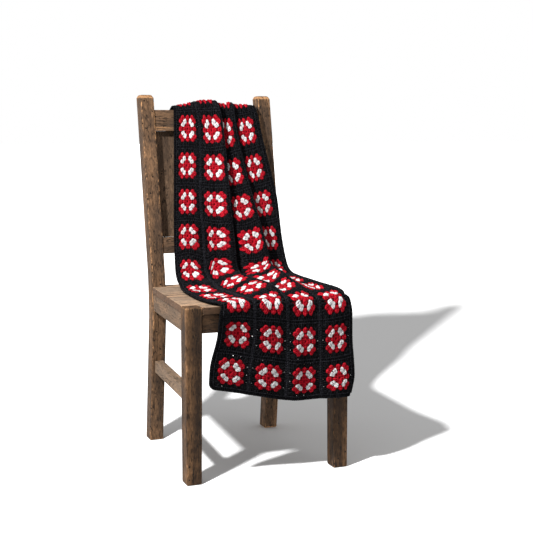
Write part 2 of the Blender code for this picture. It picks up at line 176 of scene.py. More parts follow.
# one side of a square, its other three sides are the same turned: a row for each cluster of three posts
# yarn, foot across, foot out, head across, head out, half spread at foot, middle and head, all in squares
CLUSTERS = (
    ("red", 0.0, 0.026, 0.0, 0.172, 0.014, 0.050, 0.030),
    ("white", -0.086, 0.132, -0.138, 0.252, 0.018, 0.037, 0.028),
    ("white", 0.086, 0.132, 0.138, 0.252, 0.018, 0.037, 0.028),
    ("red", -0.166, 0.226, -0.236, 0.340, 0.027, 0.043, 0.024),
    ("red", 0.0, 0.212, 0.0, 0.346, 0.028, 0.044, 0.027),
    ("red", 0.166, 0.226, 0.236, 0.340, 0.027, 0.043, 0.024),
    ("black", -0.275, 0.315, -0.365, 0.455, 0.030, 0.060, 0.066),
    ("black", -0.105, 0.320, -0.122, 0.455, 0.030, 0.060, 0.066),
    ("black", 0.105, 0.320, 0.122, 0.455, 0.030, 0.060, 0.066),
    ("black", 0.275, 0.315, 0.365, 0.455, 0.030, 0.060, 0.066),
)

# the small holes between the black clusters, on one side of a square: across and out, in squares
HOLES = ((-0.39, 0.39), (-0.205, 0.43), (0.0, 0.43), (0.205, 0.43))


class YarnSettings(bpy.types.PropertyGroup):
    red: bpy.props.FloatVectorProperty(
        name="Red", description="Colour of the centres and petals", subtype="COLOR", size=3, min=0, max=1,
        default=(0.54, 0.0072, 0.021))
    white: bpy.props.FloatVectorProperty(
        name="White", description="Colour of the second round", subtype="COLOR", size=3, min=0, max=1,
        default=(0.88, 0.86, 0.865))
    black: bpy.props.FloatVectorProperty(
        name="Black", description="Colour of the outer round, the joins and the edging", subtype="COLOR",
        size=3, min=0, max=1, default=(0.0062, 0.0062, 0.0080))
    strand: bpy.props.FloatProperty(
        name="Strand", description="Half width of a crocheted post", unit="LENGTH", default=0.0022)
    hole: bpy.props.FloatProperty(
        name="Hole", description="Width of the small holes in the black round", unit="LENGTH",
        default=0.0022)


class WoodSettings(bpy.types.PropertyGroup):
    dark: bpy.props.FloatVectorProperty(
        name="Dark", description="Old finish on the legs and rails", subtype="COLOR", size=3, min=0, max=1,
        default=(0.062, 0.034, 0.019))
    bare: bpy.props.FloatVectorProperty(
        name="Bare", description="Wood where the finish has worn off", subtype="COLOR", size=3, min=0,
        max=1, default=(0.42, 0.22, 0.10))
    dry: bpy.props.FloatVectorProperty(
        name="Dry", description="Dry wood of the seat", subtype="COLOR", size=3, min=0, max=1,
        default=(0.345, 0.245, 0.170))
    grey: bpy.props.FloatVectorProperty(
        name="Grey", description="Wood that has faded with age", subtype="COLOR", size=3, min=0, max=1,
        default=(0.30, 0.21, 0.14))


class StageSettings(bpy.types.PropertyGroup):
    lens: bpy.props.FloatProperty(
        name="Lens", description="Focal length on a 36 mm sensor", unit="CAMERA", default=74.296)
    key: bpy.props.FloatProperty(
        name="Key light", description="Strength of the lamp", unit="POWER", default=58.0)
    ambient: bpy.props.FloatProperty(
        name="Ambient", description="Strength of the light from all round", default=0.50)


class Socket:
    """A node's output, so that shader maths reads as Python expressions."""

    def __init__(self, paint, output):
        self.paint, self.output = paint, output

    def maths(self, operation, *values, clamp=False):
        inputs = {("Value", "Value_001", "Value_002")[i]: value for i, value in enumerate(values)}
        return self.paint.add("ShaderNodeMath", {"operation": operation, "use_clamp": clamp}, inputs)

    def __add__(self, other):
        return self.maths("ADD", self, other)

    def __radd__(self, other):
        return self.maths("ADD", other, self)

    def __sub__(self, other):
        return self.maths("SUBTRACT", self, other)

    def __rsub__(self, other):
        return self.maths("SUBTRACT", other, self)

    def __mul__(self, other):
        return self.maths("MULTIPLY", self, other)

    def __rmul__(self, other):
        return self.maths("MULTIPLY", other, self)

    def __truediv__(self, other):
        return self.maths("DIVIDE", self, other)

    def __pow__(self, other):
        return self.maths("POWER", self, other)

    def __lt__(self, other):
        return self.maths("LESS_THAN", self, other)

    def __abs__(self):
        return self.maths("ABSOLUTE", self)

    def at_least(self, other):
        return self.maths("MAXIMUM", self, other)

    def sine(self):
        return self.maths("SINE", self)

    def clamped(self):
        return self.maths("ADD", self, 0.0, clamp=True)

    def also(self, name):
        """Another output of the same node."""
        return Socket(self.paint, self.output.node.outputs[name])


class Paint:
    """A new material and the nodes in it, or the nodes of a lamp or the world when their tree is given."""

    def __init__(self, name, tree=None):
        if tree is None:
            self.material = bpy.data.materials.new(name)
            self.material.use_nodes = True
            tree = self.material.node_tree
            self.shader = tree.nodes["Principled BSDF"]
        self.tree = tree

    def link(self, value, socket):
        if isinstance(value, Socket):
            self.tree.links.new(value.output, socket)
        elif hasattr(socket.default_value, "__len__") and len(socket.default_value) == 4:
            socket.default_value = (*value, 1.0)
        else:
            socket.default_value = value

    def add(self, kind, settings=None, inputs=None, output=None):
        """A node of any type: its settings first, then the values or links of its sockets."""
        node = self.tree.nodes.new(kind)
        for name, value in (settings or {}).items():
            setattr(node, name, value)
        for name, value in (inputs or {}).items():
            found = [s for s in node.inputs if name in (s.identifier, s.name) and s.enabled]
            self.link(value, found[0])
        shown = [s for s in node.outputs if s.enabled and output in (None, s.identifier, s.name)]
        return Socket(self, shown[0])

    def noise(self, vector, scale, detail=3.0, roughness=0.55):
        return self.add("ShaderNodeTexNoise", {}, {"Vector": vector, "Scale": scale, "Detail": detail,
                                                   "Roughness": roughness}, "Fac")

    def step(self, value, low, high):
        """0 below low, 1 above high, smooth between them."""
        return self.add("ShaderNodeMapRange", {"interpolation_type": "SMOOTHSTEP"},
                        {"Value": value, "From Min": low, "From Max": high}, "Result")

    def mix(self, factor, first, second):
        return self.add("ShaderNodeMix", {"data_type": "RGBA"},
                        {"Factor_Float": factor, "A_Color": first, "B_Color": second}, "Result_Color")

    def scaled(self, colour, factor):
        """A colour made lighter or darker by a number that may vary."""
        return self.add("ShaderNodeVectorMath", {"operation": "SCALE"},
                        {"Vector": colour, "Scale": factor}, "Vector")

    def stretched(self, vector, factors):
        """A place with each axis multiplied by its own number."""
        return self.add("ShaderNodeVectorMath", {"operation": "MULTIPLY"},
                        {"Vector": vector, "Vector_001": factors}, "Vector")

    def bump(self, height, distance, strength=1.0):
        self.link(self.add("ShaderNodeBump", {}, {"Height": height, "Distance": distance,
                                                  "Strength": strength}, "Normal"),
                  self.shader.inputs["Normal"])

    def set(self, name, value):
        self.link(value, self.shader.inputs[name])


def smooth_through(knots, values, at):
    """Rounded curve through the knots that never swings past them, one column of values at a time."""
    knots = np.asarray(knots, float)
    values = np.asarray(values, float)
    at = np.clip(np.asarray(at, float), knots[0], knots[-1])
    step = np.diff(knots)
    slope = np.diff(values, axis=0) / step.reshape((-1,) + (1,) * (values.ndim - 1))
    tangent = np.zeros_like(values)
    tangent[0], tangent[-1] = slope[0], slope[-1]
    for k in range(1, len(knots) - 1):
        before, after = slope[k - 1], slope[k]
        weight_before, weight_after = 2 * step[k] + step[k - 1], step[k] + 2 * step[k - 1]
        same = before * after > 0
        safe_before, safe_after = np.where(same, before, 1.0), np.where(same, after, 1.0)
        mean = (weight_before + weight_after) / (weight_before / safe_before + weight_after / safe_after)
        tangent[k] = np.where(same, mean, 0.0)
    cell = np.clip(np.searchsorted(knots, at, side="right") - 1, 0, len(knots) - 2)
    shape = (-1,) + (1,) * (values.ndim - 1)
    t = ((at - knots[cell]) / step[cell]).reshape(shape)
    width = step[cell].reshape(shape)
    return ((2 * t**3 - 3 * t**2 + 1) * values[cell] + (t**3 - 2 * t**2 + t) * width * tangent[cell]
            + (3 * t**2 - 2 * t**3) * values[cell + 1] + (t**3 - t**2) * width * tangent[cell + 1])


class Drape:
    """The cloth's middle surface, kept as a fine grid of places and outward directions."""

    # the grid's pitch, in squares
    STEP = 0.01

    def __init__(self):
        self.low = np.array([-EDGING, -EDGING])
        self.high = np.array([COLUMNS + EDGING, ROWS + EDGING])
        self.count = np.round((self.high - self.low) / self.STEP).astype(int)
        across, along = (np.linspace(self.low[i], self.high[i], self.count[i] + 1) for i in (0, 1))
        rows = [row[0] for row in PATH]
        along_path = np.clip(along, 0, ROWS)
        x, off, ahead = (self.blended(table, rows, along_path, across)
                         for table in (ACROSS, STAND_OFF, AHEAD))
        dense = np.linspace(0, ROWS, ROWS * PATH_STEPS + 1)
        path = smooth_through(rows, [row[1:] for row in PATH], dense).T
        length = np.concatenate([[0.0], np.cumsum(np.hypot(np.diff(path[0]), np.diff(path[1])))])
        reach = np.interp(along_path, dense, length) + (along - along_path) * ROW_LENGTH_MM
        reach = reach[:, None] + ahead
        beyond = reach - np.clip(reach, 0, length[-1])
        y, z, face = (np.interp(reach, length, values) for values in path)
        turn = np.radians(face)
        y = y - off * np.cos(turn) + beyond * np.sin(turn)
        z = z + off * np.sin(turn) + beyond * np.cos(turn)
        self.places = np.stack([x, y, z], 2) / 1000 + CHAIR_TO_PART
        by_along, by_across = np.gradient(self.places, axis=(0, 1))
        outward = np.cross(by_across, by_along)
        self.outward = outward / np.linalg.norm(outward, axis=2, keepdims=True)

    @staticmethod
    def blended(table, rows, along, across):
        knots = list(LINES.values())
        return np.array([smooth_through(knots, line, across)
                         for line in smooth_through(rows, table, along)])

    def at(self, squares, height):
        """Points over the cloth, for places in squares (..., 2) and heights in millimetres."""
        place = (rounded_corners(squares) - self.low) / self.STEP
        place = np.clip(place, 0, self.count - 1e-6)
        cell = place.astype(int)
        part = (place - cell)[..., None]
        i, j = cell[..., 1], cell[..., 0]
        across, along = part[..., 0, :], part[..., 1, :]

        def read(grid):
            near = grid[i, j] * (1 - across) + grid[i, j + 1] * across
            far = grid[i + 1, j] * (1 - across) + grid[i + 1, j + 1] * across
            return near * (1 - along) + far * along

        return read(self.places) + read(self.outward) * np.asarray(height)[..., None] / 1000


def rounded_corners(squares):
    """Moves places near the sheet's four corners inward, so that the corners are round."""
    middle = np.array([COLUMNS, ROWS]) / 2
    from_middle = squares - middle
    inner = middle + EDGING - CORNER_ROUND
    beyond = np.maximum(abs(from_middle) - inner, 0)
    length = np.hypot(beyond[..., 0], beyond[..., 1])
    scale = np.where(beyond.min(-1) > 0, beyond.max(-1) / np.maximum(length, 1e-9), 1.0)
    moved = np.minimum(abs(from_middle), inner) + beyond * scale[..., None]
    return middle + np.copysign(moved, from_middle)


@functools.cache
def shared_drape():
    """The cloth's surface, worked out once for all pieces."""
    return Drape()


def mesh_object(name, points, faces, surfaces, slots=None, strand=None, smooth=True):
    """A mesh piece from points and faces. slots gives each face's surface, and strand gives each point's
    place along its strand and round it, with a random number of the strand's own."""
    mesh = bpy.data.meshes.new(name)
    mesh.from_pydata(points.tolist(), [], faces if isinstance(faces, list) else faces.tolist())
    for surface in surfaces:
        mesh.materials.append(surface)
    if slots is not None:
        mesh.polygons.foreach_set("material_index", np.asarray(slots, np.int32))
    if strand is not None:
        layer = mesh.attributes.new("strand", "FLOAT_VECTOR", "POINT")
        layer.data.foreach_set("vector", strand.astype(np.float32).ravel())
    mesh.polygons.foreach_set("use_smooth", np.full(len(mesh.polygons), smooth))
    mesh.update()
    made = bpy.data.objects.new(name, mesh)
    bpy.context.scene.collection.objects.link(made)
    return made


class Rods:
    """Many short rounded lengths of yarn laid on the cloth, gathered into one mesh."""

    SIDES = 6
    # how much the rods differ from each other, as shares, and how far apart their plies start (mm)
    UNEVEN_WIDTH, UNEVEN_RISE, UNEVEN_CROWN = 0.07, 0.1, 0.15
    PLY_START_MM = 9

    def __init__(self, profile, seed):
        self.profile = np.array(profile)
        self.random = np.random.default_rng(seed)
        self.parts = []

    def lay(self, foot, head, half_width, thick, rise, crown, bow=0.0, loose=0.004):
        """Adds rods from foot to head (n, 2), all in squares, as are their bow and looseness. Half width,
        half thickness, rise off the cloth and crown at the middle are in millimetres."""
        foot, head = np.asarray(foot, float), np.asarray(head, float)
        n = len(foot)

        def each(value, spread=0.0):
            given = np.broadcast_to(np.asarray(value, float), (n,))
            return (given * (1 + self.random.uniform(-spread, spread, n)))[:, None, None]

        shift = self.random.uniform(-loose, loose, (n, 2))
        foot, head = foot + shift, head + shift
        run = head - foot
        length = np.linalg.norm(run, axis=1, keepdims=True)
        side = np.stack([-run[:, 1], run[:, 0]], 1) / length
        q, wide, tall = self.profile.T
        turn = -math.pi / 2 + 2 * math.pi * np.arange(self.SIDES) / self.SIDES
        arch = np.sin(np.pi * np.clip(q, 0, 1))[None, :, None]
        width = each(half_width, self.UNEVEN_WIDTH) / SQUARE_MM * wide[None, :, None] * np.cos(turn)
        offset = each(bow) * arch + width
        place = foot[:, None, None] + run[:, None, None] * q[None, :, None, None] \
            + side[:, None, None] * offset[..., None]
        height = each(rise, self.UNEVEN_RISE) + each(crown, self.UNEVEN_CROWN) * arch \
            + each(thick, self.UNEVEN_WIDTH) * tall[None, :, None] * np.sin(turn)
        height = np.broadcast_to(height, place.shape[:3])
        strand = np.empty(place.shape[:3] + (3,))
        ply_start = self.random.uniform(0, self.PLY_START_MM, (n, 1, 1))
        strand[..., 0] = length[:, None] * SQUARE_MM * q[None, :, None] + ply_start
        strand[..., 1] = np.arange(self.SIDES) / self.SIDES
        strand[..., 2] = self.random.uniform(0, 1, (n, 1, 1))
        self.parts.append((place, height, strand))

    def built(self, name, surface):
        """The mesh object of all rods laid so far."""
        place, height, strand = (np.concatenate([part[k] for part in self.parts]) for k in range(3))
        count, rings, sides = height.shape
        points = shared_drape().at(place, height).reshape(-1, 3)
        ring = np.arange(rings - 1)[:, None] * sides
        corner = np.arange(sides)
        after = (corner + 1) % sides
        walls = np.stack([ring + corner, ring + after, ring + sides + after, ring + sides + corner], 2)
        walls = walls.reshape(-1, 4)
        starts = (np.arange(count) * rings * sides)[:, None, None]
        faces = (starts + walls[None]).reshape(-1, 4).tolist()
        first, last = corner[::-1], (rings - 1) * sides + corner
        for start in starts.ravel():
            faces.append((start + first).tolist())
            faces.append((start + last).tolist())
        made = mesh_object(name, points, faces, [surface], strand=strand.reshape(-1, 3))
        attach(made, "root")


# rings of a coloured post, of a black one and of a short stitch: the place along it, and its width and
# thickness as shares of the full ones
POST_PROFILE = ((-0.02, 0.30, 0.35), (0.08, 0.84, 0.88), (0.26, 1.08, 1.12), (0.43, 0.62, 0.48),
                (0.60, 0.98, 0.98), (0.79, 1.20, 1.20), (0.95, 0.84, 0.88), (1.02, 0.36, 0.40))
BLACK_PROFILE = ((-0.02, 0.30, 0.35), (0.10, 0.90, 0.85), (0.50, 1.02, 0.95), (0.88, 1.05, 1.0),
                 (1.02, 0.45, 0.5))
STITCH_PROFILE = ((0.0, 0.35, 0.35), (0.25, 0.95, 0.95), (0.75, 0.95, 0.95), (1.0, 0.35, 0.35))


def turned(points, quarter):
    """Points of one side of a square turned to another side."""
    for _ in range(quarter):
        points = np.stack([points[:, 1], -points[:, 0]], 1)
    return points


def over_all_squares(points):
    """The same points in each square of the blanket."""
    centres = np.array([(i + 0.5, j + 0.5) for j in range(ROWS) for i in range(COLUMNS)])
    return (centres[:, None] + points[None]).reshape(-1, 2)


# how much a post rises at its middle (mm), and how much longer (in squares) and higher (mm) the middle post
# of a cluster is than the two beside it
CROWN = 0.8
MIDDLE_LONGER, MIDDLE_HIGHER = 0.012, 0.5


def lay_clusters(rods, rows, crown, **sizes):
    """Three posts for each cluster, on all four sides of every square."""
    for _, foot_x, foot_y, head_x, head_y, at_foot, at_middle, at_head in rows:
        foot, head = np.array([foot_x, foot_y]), np.array([head_x, head_y])
        run = (head - foot) / np.linalg.norm(head - foot)
        side = np.array([-run[1], run[0]])
        for place in (-1, 0, 1):
            bow = place * (at_middle - (at_foot + at_head) / 2)
            longer, higher = (MIDDLE_LONGER, MIDDLE_HIGHER) if place == 0 else (0.0, 0.0)
            for quarter in range(4):
                feet = turned((foot + side * at_foot * place)[None], quarter)
                heads = turned((head + side * at_head * place + run * longer)[None], quarter)
                rods.lay(over_all_squares(feet), over_all_squares(heads), crown=crown + higher, bow=bow,
                         **sizes)


def times(share, colour):
    """A colour with each of its three numbers multiplied."""
    return tuple(share * c for c in colour)


def yarn(name, colour, glint_and_shade_share):
    """Soft yarn of two plies twisted along each strand, with fuzz and uneven dye, painted shade in the
    grooves between the plies, and loops of fibre painted as spots of painted highlight with painted shade
    between them. The last argument is the share by which these loops are painted lighter and the yarn
    between them darker."""
    paint = Paint(name)
    strand = paint.add("ShaderNodeAttribute", {"attribute_name": "strand"}, {}, "Vector")
    along = paint.add("ShaderNodeSeparateXYZ", {}, {"Vector": strand}, "X")
    around, chance = along.also("Y"), along.also("Z")
    # the grooves between the two plies are painted darker: painted shade
    ply = abs((along * 1.15 + around * 2 * math.pi).sine())
    place = paint.add("ShaderNodeTexCoord", {}, {}, "Object")
    fuzz = paint.noise(place, 900.0, 2.0, 0.7)
    dye = paint.noise(place, 38.0, 2.0)
    # spots where loops of fibre are painted lighter as a painted highlight, with the yarn round them
    # painted darker as painted shade
    glint_spots = paint.step(paint.noise(place, 300.0, 2.0, 0.6), 0.42, 0.66)
    # a random tone for each strand, uneven dye and fuzz, times the painted shade of the ply grooves
    light = (0.78 + 0.34 * chance) * (0.50 + 0.68 * ply) * (0.56 + 0.40 * dye + 0.50 * fuzz)
    shade = paint.scaled(colour, light * (1 - glint_and_shade_share / 2 + glint_and_shade_share * glint_spots))
    # the loops are mixed towards a paler colour: a painted highlight
    paint.set("Base Color", paint.mix(glint_spots * 0.10, shade, tuple(0.7 * c + 0.10 for c in colour)))
    paint.bump(ply * 0.7 + fuzz * 0.5, 0.0009, 0.7)
    paint.set("Roughness", 0.9)
    paint.set("Specular IOR Level", 0.06)
    return paint.material


def deep_yarn_painted_shade(name, colour):
    """The same yarn where it lies deep between the posts, its colour already darkened by the caller as
    painted shade.
    """
    paint = Paint(name)
    place = paint.add("ShaderNodeTexCoord", {}, {}, "Object")
    weave = paint.noise(place, 420.0, 3.0, 0.65)
    paint.set("Base Color", paint.mix(weave, times(0.55, colour), times(1.1, colour)))
    paint.bump(weave, 0.0008)
    paint.set("Roughness", 0.92)
    paint.set("Specular IOR Level", 0.1)
    return paint.material


def old_wood(name, grain, dark, bare, wear, holes, sides=None):
    """Old timber with long grain, pits, cracks, rubbed edges and wormholes. grain is the axis that it runs
    along. A board with sides in another colour has that colour on its upright faces, and its faces that
    look down are painted darker: painted shade under it."""
    paint = Paint(name)
    place = paint.add("ShaderNodeTexCoord", {}, {}, "Object")
    # noise drawn out along the grain, a lot for the fibres and less for the flecks
    long, short = (paint.stretched(place, tuple(share if axis == grain else 1.0 for axis in "XYZ"))
                   for share in (0.055, 0.22))
    fibre = paint.noise(long, 210.0, 4.0, 0.65)
    band = paint.noise(long, 38.0, 3.0)
    patch = paint.noise(place, 11.0, 4.0, 0.62)
    fleck = paint.noise(short, 330.0, 3.0, 0.65)
    pit = paint.step(paint.noise(short, 190.0, 3.0, 0.7), 0.56, 0.64)
    crack = 1 - paint.step(abs(paint.noise(long, 60.0, 2.0) - 0.5), 0.002, 0.016)
    crack = crack * paint.step(patch, 0.46, 0.58)
    worm = paint.add("ShaderNodeTexVoronoi", {"feature": "F1"}, {"Vector": place, "Scale": 95.0},
                     "Distance")
    chance = paint.add("ShaderNodeSeparateXYZ", {}, {"Vector": worm.also("Color")}, "X")
    worm = (1 - paint.step(worm, 0.16, 0.26)) * (chance < holes * 0.30) * paint.step(patch, 0.44, 0.52)
    # the rounded edges are the faces that lie along none of the three axes
    normal = paint.add("ShaderNodeNewGeometry", {}, {}, "Normal")
    facing = paint.add("ShaderNodeSeparateXYZ", {}, {"Vector": normal}, "X")
    level = abs(facing.also("Z"))
    flat = level.at_least(abs(facing).at_least(abs(facing.also("Y"))))
    edge = 1 - paint.step(flat, 0.88, 0.95)
    rubbed = paint.step(edge * 0.56 + (patch - 0.5) * 1.0 + (fleck - 0.5) * 1.4, 0.28, 0.80) * wear
    faded = paint.step(patch * 0.55 + band * 0.5 + fleck * 0.25, 0.52, 0.86) * 0.62
    tone = (0.35 + 1.30 * band) * (0.40 + 1.20 * fibre) * (0.30 + 1.40 * fleck)
    body = paint.mix(faded, dark, tuple(d * 0.5 + b * 0.5 for d, b in zip(dark, bare)))
    if sides:
        body = paint.mix(paint.step(level, 0.4, 0.8), sides, body)
        # faces that look down are painted darker and left unrubbed: painted shade under the board
        painted_underside_shade = paint.step(0 - facing.also("Z"), 0.25, 0.6)
        rubbed = rubbed * (1 - painted_underside_shade)
        body = paint.scaled(body, 1 - 0.85 * painted_underside_shade)
    body = paint.scaled(body, tone)
    worn = paint.scaled(paint.mix(patch, bare, times(1.2, bare)), 0.25 + 0.70 * fibre + 0.50 * fleck)
    colour = paint.mix(rubbed.clamped(), body, worn)
    # pits, cracks and wormholes are painted darker: painted shade inside hollows that the surface has only
    # as bump
    colour = paint.scaled(colour, (1 - 0.62 * pit) * (1 - 0.8 * crack) * (1 - 0.92 * worm))
    paint.set("Base Color", colour)
    paint.set("Roughness", (0.62 + 0.3 * fibre).clamped())
    paint.set("Specular IOR Level", 0.25)
    paint.bump(fibre * 0.4 + band * 0.3 + fleck * 0.4 - pit * 0.8 - crack * 1.2 - worm * 2.0, 0.0012, 0.8)
    return paint.material


class BLANKET_OT_stage(bpy.types.Operator):
    """Add the camera, the lamps, the floor and the light from all round"""
    bl_idname = "blanket.stage"
    bl_label = "Stage"

    EYE = (-1.0217, -2.5444, 0.8876)
    LOOK_DOWN, LOOK_RIGHT = 7.1463, 21.7114
    NEAREST, FARTHEST = 0.05, 200.0
    # each lamp's place in chair coordinates, and whether it lights the floor or the chair
    LAMPS = (("floor_lamp", (-0.945, -0.60, 1.60), True), ("chair_lamp", (-1.05, -0.20, 1.50), False))
    LAMP_RADIUS = 0.055
    # a lamp's light is even up to this distance (m), and beyond it grows by this power of the distance
    EVEN_WITHIN, GAIN = 1.6, 1.1
    FLOOR_HALF, FLOOR_DROP = 60.0, 0.0005

    def execute(self, context):
        settings = context.scene.blanket_stage
        camera = bpy.data.cameras.new("camera")
        camera.lens, camera.sensor_width = settings.lens, 36.0
        camera.clip_start, camera.clip_end = self.NEAREST, self.FARTHEST
        eye = bpy.data.objects.new("camera", camera)
        eye.location = np.array(self.EYE) + CHAIR_TO_PART
        eye.rotation_euler = (math.radians(90 - self.LOOK_DOWN), 0.0, -math.radians(self.LOOK_RIGHT))
        context.scene.collection.objects.link(eye)
        context.scene.camera = eye

        world = bpy.data.worlds.new("room")
        world.use_nodes = True
        paint = Paint("room", world.node_tree)
        seen = paint.add("ShaderNodeLightPath", {}, {}, "Is Camera Ray")
        background = world.node_tree.nodes["Background"]
        background.inputs["Color"].default_value = (1.0, 1.0, 1.0, 1.0)
        paint.link(settings.ambient + seen * (1.0 - settings.ambient), background.inputs["Strength"])
        context.scene.world = world
        context.scene.view_settings.view_transform = "Standard"

        corners = self.FLOOR_HALF * np.array([(-1.0, -1.0, 0.0), (1.0, -1.0, 0.0), (1.0, 1.0, 0.0),
                                              (-1.0, 1.0, 0.0)])
        paint = Paint("pale_floor")
        paint.set("Base Color", (0.85, 0.85, 0.85))
        paint.set("Roughness", 0.9)
        paint.set("Specular IOR Level", 0.0)
        floor = mesh_object("floor", corners, [[0, 1, 2, 3]], [paint.material], smooth=False)
        floor.location.z = -self.FLOOR_DROP
        floor.visible_diffuse = False
        for name, place, for_floor in self.LAMPS:
            self.lamp(context, name, place, floor, for_floor)
        return {"FINISHED"}

    def lamp(self, context, name, place, floor, for_floor):
        """A lamp whose light doesn't fade, for the floor alone or for all but the floor."""
        lamp = bpy.data.lights.new(name, "POINT")
        lamp.energy, lamp.shadow_soft_size = context.scene.blanket_stage.key, self.LAMP_RADIUS
        lamp.use_nodes = True
        paint = Paint(name, lamp.node_tree)
        even = paint.add("ShaderNodeLightFalloff", {}, {"Strength": 1.0}, "Constant")
        distance = paint.add("ShaderNodeLightPath", {}, {}, "Ray Length")
        farther = (distance / self.EVEN_WITHIN).at_least(1.0)
        paint.link(even * farther ** self.GAIN, lamp.node_tree.nodes["Emission"].inputs["Strength"])
        holder = bpy.data.objects.new(name, lamp)
        holder.location = np.array(place) + CHAIR_TO_PART
        context.scene.collection.objects.link(holder)
        lit = bpy.data.collections.new(name + "_lights")
        lit.objects.link(floor)
        lit.collection_objects[0].light_linking.link_state = "INCLUDE" if for_floor else "EXCLUDE"
        holder.light_linking.receiver_collection = lit


class BLANKET_OT_web(bpy.types.Operator):
    """Add the thin worked sheet under the posts, with its small holes"""
    bl_idname = "blanket.web"
    bl_label = "Worked sheet"

    # cells across a square
    CELLS = 21
    DEPTH_MM = -0.9
    THICK = 0.0010
    # the cloth hangs free before the first of these rows and after the second, and this share of the small
    # holes there is open
    HANGS_BELOW, HANGS_ABOVE = 2.05, 11.0
    OPEN_SHARE = 0.55
    # where the red ends and the white lies, from a square's middle, and the gap between white pairs
    RED_WITHIN = 0.375
    WHITE_FROM, WHITE_TO, WHITE_BESIDE = 0.14, 0.235, 0.07
    # the yarns that lie deep between the posts, each with the share of its colour that it keeps there, the
    # rest taken off as painted shade
    DEEP = (("black", 0.35), ("red", 0.45), ("white", 0.5))

    def execute(self, context):
        settings = context.scene.blanket_yarn
        inner = [np.arange(n * self.CELLS + 1) / self.CELLS for n in (COLUMNS, ROWS)]
        border = np.array([EDGING / 2, EDGING])
        across, along = (np.concatenate([-border[::-1], line, line[-1] + border]) for line in inner)
        places = np.stack(np.meshgrid(across, along), 2)
        rows, columns = places.shape[:2]
        number = np.arange(rows * columns).reshape(rows, columns)
        faces = np.stack([number[:-1, :-1], number[:-1, 1:], number[1:, 1:], number[1:, :-1]], 2)
        middle = (places[:-1, :-1] + places[1:, 1:]) / 2
        keep = np.ones(faces.shape[:2], bool)
        half = settings.hole * 1000 / SQUARE_MM / 2
        spots = [turned(np.array(HOLES), quarter) for quarter in range(4)]
        spots = over_all_squares(np.concatenate(spots))
        hanging = (spots[:, 1] < self.HANGS_BELOW) | (spots[:, 1] > self.HANGS_ABOVE)
        opened = hanging & (np.random.default_rng(5).random(len(spots)) < self.OPEN_SHARE)
        # a cell's four corners move to the hole's, and its face is left out
        for spot in spots[opened]:
            column, row = (int(np.argmin(abs(line - value))) for line, value in
                           ((middle[0, :, 0], spot[0]), (middle[:, 0, 1], spot[1])))
            keep[row, column] = False
            for dr, dc in ((0, 0), (0, 1), (1, 0), (1, 1)):
                places[row + dr, column + dc] = spot + half * (2 * np.array([dc, dr]) - 1)
        inside = middle - np.floor(middle) - 0.5
        out, tangent = abs(inside).max(2), abs(inside).min(2)
        black, red, white = range(3)
        colour = np.where(out < self.RED_WITHIN, red, black)
        colour[(out > self.WHITE_FROM) & (out < self.WHITE_TO) & (tangent > self.WHITE_BESIDE)] = white
        edge = (middle.min(2) < 0) | (middle[..., 0] > COLUMNS) | (middle[..., 1] > ROWS)
        colour[edge] = black
        points = shared_drape().at(places, np.full(places.shape[:2], self.DEPTH_MM))
        # the sheet's yarns are darkened copies of the posts' yarns: painted shade between the posts
        surfaces = [deep_yarn_painted_shade(f"deep_{name}_yarn", times(share, getattr(settings, name)))
                    for name, share in self.DEEP]
        made = mesh_object("worked_sheet", points.reshape(-1, 3), faces[keep], surfaces, colour[keep])
        thick = made.modifiers.new("thickness", "SOLIDIFY")
        thick.thickness, thick.offset, thick.use_even_offset = self.THICK, 0.0, True
        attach(made, "root")
        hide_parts("blanket")
        return {"FINISHED"}


class BLANKET_OT_clusters(bpy.types.Operator):
    """Add the clusters of posts: red centres, white pairs, red petals and the black round"""
    bl_idname = "blanket.clusters"
    bl_label = "Clusters"

    def execute(self, context):
        settings = context.scene.blanket_yarn
        yarns = {name: yarn(f"plied_{name}", tuple(getattr(settings, name)), glint_and_shade_share)
                 for name, glint_and_shade_share in (("red", 0.5), ("white", 0.2), ("black", 0.9))}
        half = settings.strand * 1000
        # name, clusters, profile, half width, half thickness, rise and crown (mm)
        groups = (
            ("red_centres", CLUSTERS[:1], POST_PROFILE, half, 1.9, 0.7, CROWN),
            ("white_pairs", CLUSTERS[1:3], POST_PROFILE, half * 0.90, 2.0, 1.1, CROWN),
            ("red_petals", CLUSTERS[3:6], POST_PROFILE, half, 2.0, 1.0, CROWN),
            ("black_round", CLUSTERS[6:], BLACK_PROFILE, half, 1.8, 0.3, CROWN / 2),
        )
        for seed, (name, rows, profile, half_width, thick, rise, crown) in enumerate(groups):
            rods = Rods(profile, seed)
            lay_clusters(rods, rows, crown, half_width=half_width, thick=thick, rise=rise)
            rods.built(name, yarns[rows[0][0]])
        return {"FINISHED"}


